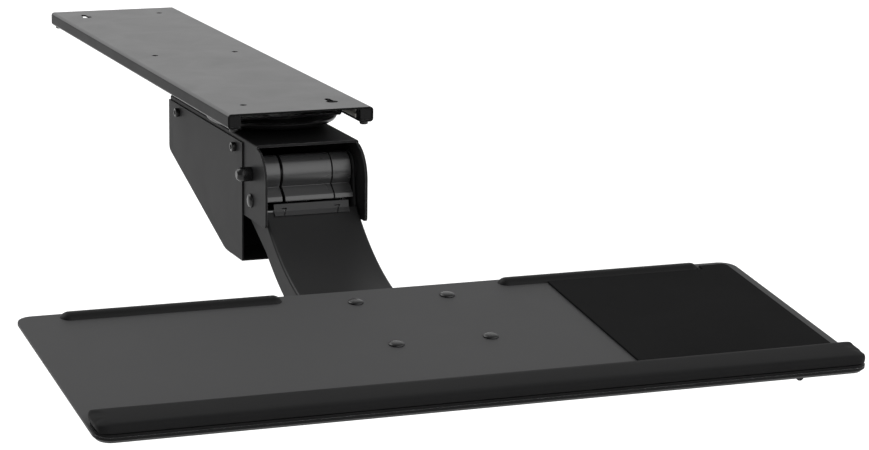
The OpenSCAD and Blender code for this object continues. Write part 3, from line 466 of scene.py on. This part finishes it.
def turned_fastener(outline, around=48):
    """A closed piece from (shape, radius, height) rings in millimetres, from its foot to its top."""
    work = bmesh.new()
    rings = []
    for shape, radius, height in outline:
        ring = []
        for i in range(around):
            angle = math.tau * i / around
            r = outline_radius(shape, radius, angle) * MM
            ring.append(work.verts.new((r * math.cos(angle), r * math.sin(angle), height * MM)))
        rings.append(ring)
    for low, high in zip(rings, rings[1:]):
        for i in range(around):
            j = (i + 1) % around
            work.faces.new((low[i], low[j], high[j], high[i]))
    work.faces.new(list(reversed(rings[0])))
    work.faces.new(rings[-1])
    bmesh.ops.recalc_face_normals(work, faces=work.faces)
    mesh = bpy.data.meshes.new("fastener")
    work.to_mesh(mesh)
    work.free()
    smooth_by_angle(mesh, SMOOTH_FASTENER)
    return new_piece("fastener", mesh)


def dome_rings(radius, height, rim, steps=7):
    """Rings of a low dome with a short upright rim, up to a small flat top."""
    flat_top, fullness = 0.35, 0.8
    rings = [("round", radius, 0.0), ("round", radius, rim)]
    for i in range(1, steps + 1):
        turn = math.pi / 2 * i / (steps + flat_top)
        rings.append(("round", radius * math.cos(turn) ** fullness,
                      rim + (height - rim) * math.sin(turn)))
    return rings


def fastener_nodes():
    """Sets one fastener on each point, along the point's own direction and turned at random."""
    tree = bpy.data.node_groups.new("set_fasteners", "GeometryNodeTree")
    for label, kind in (("Places", "Geometry"), ("Fastener", "Object"), ("Finish", "Material"),
                        ("Turn seed", "Int")):
        tree.interface.new_socket(name=label, in_out="INPUT", socket_type="NodeSocket" + kind)
    tree.interface.new_socket(name="Fasteners", in_out="OUTPUT", socket_type="NodeSocketGeometry")
    start = tree.nodes.new("NodeGroupInput")
    end = tree.nodes.new("NodeGroupOutput")
    points = node_in(tree, "GeometryNodeMeshToPoints", mode="VERTICES")
    join(tree, start.outputs["Places"], points.inputs["Mesh"])
    facing = node_in(tree, "GeometryNodeInputNamedAttribute", data_type="FLOAT_VECTOR")
    facing.inputs["Name"].default_value = "facing"
    aim = node_in(tree, "FunctionNodeAlignRotationToVector", axis="Z")
    join(tree, facing.outputs["Attribute"], aim.inputs["Vector"])
    turn = node_in(tree, "FunctionNodeRandomValue", data_type="FLOAT")
    turn.inputs[3].default_value = math.tau
    join(tree, start.outputs["Turn seed"], turn.inputs["Seed"])
    spin = node_in(tree, "FunctionNodeAxisAngleToRotation")
    spin.inputs["Axis"].default_value = (0, 0, 1)
    join(tree, turn.outputs[1], spin.inputs["Angle"])
    both = node_in(tree, "FunctionNodeRotateRotation", rotation_space="LOCAL")
    join(tree, aim.outputs[0], both.inputs["Rotation"])
    join(tree, spin.outputs[0], both.inputs["Rotate By"])
    made = node_in(tree, "GeometryNodeObjectInfo", transform_space="ORIGINAL")
    join(tree, start.outputs["Fastener"], made.inputs["Object"])
    put = node_in(tree, "GeometryNodeInstanceOnPoints")
    join(tree, points.outputs[0], put.inputs["Points"])
    join(tree, made.outputs["Geometry"], put.inputs["Instance"])
    join(tree, both.outputs[0], put.inputs["Rotation"])
    solid = node_in(tree, "GeometryNodeRealizeInstances")
    join(tree, put.outputs[0], solid.inputs[0])
    finish = node_in(tree, "GeometryNodeSetMaterial")
    join(tree, solid.outputs[0], finish.inputs["Geometry"])
    join(tree, start.outputs["Finish"], finish.inputs["Material"])
    join(tree, finish.outputs[0], end.inputs[0])
    return tree


SET_FASTENERS = fastener_nodes()


def set_fasteners(node, name, seed, places, outline):
    """Turns a fastener and sets it on its places, given as (position, direction), for a node."""
    fastener = turned_fastener(outline)
    mesh = bpy.data.meshes.new(name)
    mesh.from_pydata([tuple(place) for place, _ in places], [], [])
    facing = mesh.attributes.new("facing", "FLOAT_VECTOR", "POINT")
    for i, (_, direction) in enumerate(places):
        facing.data[i].vector = direction
    piece = new_piece(name, mesh)
    setting = piece.modifiers.new("set_fasteners", "NODES")
    setting.node_group = SET_FASTENERS
    inputs = {item.name: item.identifier for item in SET_FASTENERS.interface.items_tree
              if item.in_out == "INPUT"}
    setting[inputs["Fastener"]] = fastener
    setting[inputs["Finish"]] = FINISH[SLOT_OF[node]]
    setting[inputs["Turn seed"]] = seed
    settle(piece)
    pattern = fastener.data
    bpy.data.objects.remove(fastener)
    bpy.data.meshes.remove(pattern)
    smooth_by_angle(piece.data, SMOOTH_FASTENER)
    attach(piece, body_that_holds(node))
    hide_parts(node)


def at(x, y, z):
    """A place in the frame, in millimetres."""
    return Vector((x, y, z)) * MM


SIDEWAYS = (-1, 1)
UP, DOWN = Vector((0, 0, 1)), Vector((0, 0, -1))
ON_TRAY_BOLTS = [(x, y) for x in (-44, 44) for y in (-29, -135.5)]
MOUNT_UNDERSIDE = -8.5
COVER_SCREW_X, COVER_SCREW_Z = 53.9, -41.2
RIVET_X, RIVET_Y, RIVET_Z = 52.4, -352.5, -86.0
STOP_SCREW_X, STOP_SCREW_Y, STOP_UNDERSIDE = 67.25, 343.5, -15.0
TURNTABLE_Y, PAN_TOP, PAN_GRIP, PAN_RIVET_RING = -256.0, -26.4, 4.5, 40
PALM_SCREW_HALF_GAP, PALM_SCREW_Y, BOARD_UNDERSIDE = 692 / 7.5, -254.4, -5.5

# Each kind has its node, name and seed, then its places, then its rings from foot to top
set_fasteners(
    "tray_bolts", "round_head_bolts", 3,
    [(on_tray(x, y, 0), UPWARD) for x, y in ON_TRAY_BOLTS],
    [("round", 2.6, -16.5), ("round", 3.2, -15.9), ("round", 3.2, 0.0)] + dome_rings(7.0, 2.5, 0.5))
set_fasteners(
    "tray_nuts", "mount_nuts", 11,
    [(on_tray(x, y, MOUNT_UNDERSIDE), -UPWARD) for x, y in ON_TRAY_BOLTS],
    [("round", 3.2, 0.2), ("round", 3.7, 0.0), ("round", 5.2, 0.0), ("hexagon", 6.2, 0.55),
     ("hexagon", 6.2, 4.95), ("round", 5.2, 5.5), ("round", 3.2, 5.5)])
set_fasteners(
    "cover_screws", "cover_cap_screws", 8,
    [(at(s * COVER_SCREW_X, y, COVER_SCREW_Z), Vector((s, 0, 0)))
     for s in SIDEWAYS for y in (-304, -107)],
    [("round", 3.0, -4.5), ("round", 3.0, 0.0), ("round", 4.45, 0.0), ("round", 4.7, 0.3),
     ("round", 4.7, 3.2), ("round", 4.45, 3.75), ("round", 4.0, 4.0), ("hexagon", 2.9, 4.0),
     ("hexagon", 2.8, 3.7), ("hexagon", 2.8, 1.9), ("hexagon", 0.6, 1.6)])
set_fasteners(
    "link_rivets", "domed_link_rivets", 2,
    [(at(s * RIVET_X, RIVET_Y, RIVET_Z), Vector((s, 0, 0))) for s in SIDEWAYS],
    [("round", 5.6, -11.9), ("round", 6.0, -11.5), ("round", 6.0, -9.9), ("round", 4.0, -9.9),
     ("round", 4.0, 0.0)] + dome_rings(6.9, 3.6, 0.5))
set_fasteners(
    "stop_screws", "stop_pan_screws", 4,
    [(at(s * STOP_SCREW_X, end * STOP_SCREW_Y, STOP_UNDERSIDE), DOWN)
     for s in SIDEWAYS for end in (-1, 1)],
    [("round", 1.6, -8.5), ("round", 2.0, -8.1), ("round", 2.0, 0.0), ("round", 4.1, 0.0),
     ("round", 4.2, 0.2), ("round", 4.2, 2.2), ("round", 3.9, 2.85), ("round", 3.2, 3.25),
     ("round", 2.6, 3.3), ("cross", 2.3, 3.28), ("cross", 1.9, 1.9), ("cross", 0.5, 1.5)])
set_fasteners(
    "turntable_rivets", "pan_rivets", 6,
    [(at(PAN_RIVET_RING * math.cos(a), TURNTABLE_Y + PAN_RIVET_RING * math.sin(a), PAN_TOP), UP)
     for a in (math.pi * k / 4 for k in (1, 3, 5, 7))],
    [("round", r, -PAN_GRIP - z) for _, r, z in reversed(dome_rings(3.8, 1.5, 0.2))]
    + [("round", 2.5, -PAN_GRIP), ("round", 2.5, 0.0)] + dome_rings(3.8, 1.5, 0.2))
set_fasteners(
    "palm_screws", "palm_rest_screws", 9,
    [(on_board(k * PALM_SCREW_HALF_GAP, PALM_SCREW_Y, BOARD_UNDERSIDE), -UPWARD)
     for k in (-3, -1, 1, 3)],
    [("round", 0.4, -6.9), ("round", 1.8, -5.6), ("round", 1.8, 0.0), ("round", 3.5, 0.0),
     ("round", 3.6, 0.2), ("round", 3.4, 0.9), ("round", 2.9, 1.5), ("round", 2.3, 1.85),
     ("cross", 1.9, 1.9), ("cross", 1.5, 0.9), ("cross", 0.4, 0.7)])


# The palm rest: a crowned pad, swollen by a cloth simulation

PALM_HALF = 344.5
PALM_FRONT, PALM_REAR = -277.9, -239.5
PALM_CORNER, PALM_REAR_CORNER = 10.0, 4.5
# Inset from the pad's outline and height above the board, from its foot to the middle of its top
PALM_SECTION = [(0.1, 2.0), (0.0, 3.0), (0.0, 4.8), (0.1, 7.9), (0.4, 9.2), (1.1, 10.1), (2.4, 10.6),
                (6.0, 10.9), (12.0, 11.05), (18.6, 11.1)]
PALM_BASE = 2.0  # height of the stiff base under the pad
PALM_LEAN, PALM_THICK = 1.1, 9.7  # the front edge lies lower than the rear one by the lean
# How much further out the rear corner of the right end reaches, and over what length it grows
PALM_FLARE, PALM_FLARE_LENGTH = 1.5, 45


def palm_outline(inset):
    """The pad's rounded rectangle seen from above, drawn in by inset, with the same points each time."""
    x1 = PALM_HALF - inset
    y0, y1 = PALM_FRONT + inset, PALM_REAR - inset
    sharpest = 0.3
    front, rear = max(PALM_CORNER - inset, sharpest), max(PALM_REAR_CORNER - inset, sharpest)
    if front + rear > y1 - y0:
        front = rear = (y1 - y0) / 2
    along, arc, upright = 90, 8, 3
    corners = ((x1 - front, y0 + front, front, -90), (x1 - rear, y1 - rear, rear, 0),
               (-x1 + rear, y1 - rear, rear, 90), (-x1 + front, y0 + front, front, 180))
    places = []
    for which, (cx, cy, r, first) in enumerate(corners):
        before = places[-1] if places else (-x1 + front, y0)
        start = (cx + r * math.cos(math.radians(first)), cy + r * math.sin(math.radians(first)))
        steps = along if which % 2 == 0 else upright
        for k in range(1 if places else 0, steps):
            places.append((before[0] + (start[0] - before[0]) * k / steps,
                           before[1] + (start[1] - before[1]) * k / steps))
        last = arc if which < 3 else arc - 1
        for k in range(last + 1):
            a = math.radians(first + 90 * k / arc)
            places.append((cx + r * math.cos(a), cy + r * math.sin(a)))
    return places


def palm_shell():
    """The pad's skin, closed below and above."""
    work = bmesh.new()
    rings = []
    for inset, height in PALM_SECTION:
        ring = []
        for x, y in palm_outline(inset):
            back = (y - PALM_FRONT) / (PALM_REAR - PALM_FRONT)
            if x > PALM_HALF - PALM_FLARE_LENGTH:
                x += PALM_FLARE * back * (x - PALM_HALF + PALM_FLARE_LENGTH) / PALM_FLARE_LENGTH
            lift = height - (1 - back) * PALM_LEAN * (height - PALM_BASE) / PALM_THICK
            ring.append(work.verts.new(on_board(x, y, lift)))
        rings.append(ring)
    for low, high in zip(rings, rings[1:]):
        for i in range(len(low)):
            j = (i + 1) % len(low)
            work.faces.new((low[i], low[j], high[j], high[i]))
    work.faces.new(list(reversed(rings[0])))
    work.faces.new(rings[-1])
    bmesh.ops.triangulate(work, faces=[f for f in work.faces if len(f.verts) > 4])
    bmesh.ops.recalc_face_normals(work, faces=work.faces)
    mesh = bpy.data.meshes.new("palm_rest_pad")
    work.to_mesh(mesh)
    work.free()
    return mesh


def swell(piece, voxel, pressure, most, pinned=3.2, last_frame=20):
    """Swells a closed pad with Blender's Cloth.

    Its foot is pinned up to a height above the board, and no point moves further than most.
    """
    grid = piece.modifiers.new("even_grid", "REMESH")
    grid.mode = "VOXEL"
    grid.voxel_size = voxel * MM
    settle(piece)
    start = [v.co.copy() for v in piece.data.vertices]
    foot = piece.vertex_groups.new(name="foot")
    foot.add([v.index for v in piece.data.vertices
              if (v.co - TRAY_EDGE).dot(UPWARD) / MM < pinned], 1.0, "REPLACE")
    cloth = piece.modifiers.new("swelling", "CLOTH")
    cloth.settings.use_pressure = True
    cloth.settings.uniform_pressure_force = pressure
    cloth.settings.tension_stiffness = 30
    cloth.settings.compression_stiffness = 30
    cloth.settings.bending_stiffness = 2.0
    cloth.settings.quality = 5
    cloth.settings.effector_weights.gravity = 0
    cloth.settings.vertex_group_mass = "foot"
    cloth.collision_settings.use_collision = False
    for step in range(1, last_frame + 1):
        scene.frame_set(step)
    shaped = piece.evaluated_get(bpy.context.evaluated_depsgraph_get())
    ends = [v.co.copy() for v in shaped.data.vertices]
    piece.modifiers.clear()
    for vertex, before, after in zip(piece.data.vertices, start, ends):
        move = after - before
        if move.length > most * MM:
            move = move.normalized() * most * MM
        vertex.co = before + move
    scene.frame_set(1)
    piece.vertex_groups.clear()


def palm_pad():
    piece = new_piece("palm_rest_pad", palm_shell())
    swell(piece, voxel=2.2, pressure=4.0, most=0.4)
    finer = piece.modifiers.new("finer", "SUBSURF")
    finer.levels = finer.render_levels = 1
    settle(piece)
    smooth_by_angle(piece.data, 75)
    paint(piece, "palm_pad")
    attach(piece, "tray")
    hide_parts("palm_rest")
    return piece


palm_pad()


# Camera, fitted to the photo's edges

CAMERA_PLACE = (-0.939178, -3.142768, 0.535144)
FOCAL_PIXELS, PICTURE_WIDTH, SENSOR = 3058.524, 869, 36


def aim_camera():
    """Yaw turns the view to the right, pitch down and roll clockwise, in radians."""
    yaw, pitch, roll = 0.36905, 0.21674, 0.011886
    level = math.cos(pitch)
    forward = Vector((math.sin(yaw) * level, math.cos(yaw) * level, -math.sin(pitch)))
    right = Vector((math.cos(yaw), -math.sin(yaw), 0))
    up = right.cross(forward)
    side = math.cos(roll) * right + math.sin(roll) * up
    top = -math.sin(roll) * right + math.cos(roll) * up
    lens = bpy.data.cameras.new("photo_lens")
    lens.sensor_width = SENSOR
    lens.lens = FOCAL_PIXELS * SENSOR / PICTURE_WIDTH
    lens.clip_end = 100
    camera = bpy.data.objects.new("photo_camera", lens)
    scene.collection.objects.link(camera)
    turned = Matrix((side, top, -forward)).transposed().to_4x4()
    camera.matrix_world = Matrix.Translation(CAMERA_PLACE) @ turned
    scene.camera = camera


# Pale floor and soft studio light

FLOOR_HEIGHT, FLOOR_HALF = -0.75, 30
FLOOR_GLOW = 0.75  # seen by the camera and in reflections only
ROOM_LEVEL = 0.17
# Pale areas of the room: direction, cosine at which each starts and is full, and strength
PALE_AREAS = (
    ((-0.1, 0.97, 0.22), 0.0, 1.0, 0.75),
    ((-0.85, 0.2, 0.48), 0.0, 1.0, 0.1),
    ((0.62, -0.76, 0.2), 0.3, 1.0, 2.0))


def pale_floor():
    """A pale floor that looks white where no shadow falls, also in reflections."""
    work = bmesh.new()
    bmesh.ops.create_grid(work, x_segments=1, y_segments=1, size=FLOOR_HALF,
                          matrix=Matrix.Translation((0, 0, FLOOR_HEIGHT)))
    mesh = bpy.data.meshes.new("floor")
    work.to_mesh(mesh)
    work.free()
    floor = new_piece("floor", mesh)
    pale = bpy.data.materials.new("pale_floor")
    pale.use_nodes = True
    tree = pale.node_tree
    shader = next(n for n in tree.nodes if n.type == "BSDF_PRINCIPLED")
    shader.inputs["Base Color"].default_value = (0.5, 0.5, 0.5, 1)
    shader.inputs["Roughness"].default_value = 0.9
    shader.inputs["Specular IOR Level"].default_value = 0.1
    glow = node_in(tree, "ShaderNodeEmission")
    glow.inputs["Strength"].default_value = FLOOR_GLOW
    lit = node_in(tree, "ShaderNodeAddShader")
    join(tree, shader.outputs[0], lit.inputs[0])
    join(tree, glow.outputs[0], lit.inputs[1])
    path = node_in(tree, "ShaderNodeLightPath")
    seen = node_in(tree, "ShaderNodeMath", operation="MAXIMUM")
    join(tree, path.outputs["Is Camera Ray"], seen.inputs[0])
    join(tree, path.outputs["Is Glossy Ray"], seen.inputs[1])
    also = node_in(tree, "ShaderNodeMath", operation="MAXIMUM")
    join(tree, seen.outputs[0], also.inputs[0])
    join(tree, path.outputs["Is Transmission Ray"], also.inputs[1])
    pick = node_in(tree, "ShaderNodeMixShader")
    join(tree, also.outputs[0], pick.inputs[0])
    join(tree, shader.outputs[0], pick.inputs[1])
    join(tree, lit.outputs[0], pick.inputs[2])
    join(tree, pick.outputs[0], next(n for n in tree.nodes if n.type == "OUTPUT_MATERIAL").inputs[0])
    mesh.materials.append(pale)


def soft_room():
    """An even room with a pale rear, a pale area at the front right and a lamp at the rear left."""
    world = bpy.data.worlds.new("soft_room")
    scene.world = world
    world.use_nodes = True
    tree = world.node_tree
    room = next(n for n in tree.nodes if n.type == "BACKGROUND")
    place = node_in(tree, "ShaderNodeTexCoord")
    total = node_in(tree, "ShaderNodeValue")
    total.outputs[0].default_value = ROOM_LEVEL
    for direction, low, high, amount in PALE_AREAS:
        toward = node_in(tree, "ShaderNodeVectorMath", operation="DOT_PRODUCT")
        toward.inputs[1].default_value = direction
        join(tree, place.outputs["Generated"], toward.inputs[0])
        share = node_in(tree, "ShaderNodeMapRange", interpolation_type="SMOOTHSTEP")
        share.inputs["From Min"].default_value = low
        share.inputs["From Max"].default_value = high
        share.inputs["To Max"].default_value = amount
        join(tree, toward.outputs["Value"], share.inputs["Value"])
        add = node_in(tree, "ShaderNodeMath", operation="ADD")
        join(tree, share.outputs[0], add.inputs[0])
        join(tree, total.outputs[0], add.inputs[1])
        total = add
    join(tree, total.outputs[0], room.inputs["Strength"])
    room.inputs["Color"].default_value = (1, 1, 1, 1)

    lamp = bpy.data.lights.new("broad_rear_light", "SUN")
    lamp.energy = 0.85
    lamp.angle = math.radians(40)
    sun = bpy.data.objects.new("broad_rear_light", lamp)
    sun.rotation_euler = Vector((-0.45, 0.55, 0.7)).to_track_quat("Z", "Y").to_euler()
    scene.collection.objects.link(sun)


aim_camera()
pale_floor()
soft_room()
scene.view_settings.view_transform = "Standard"
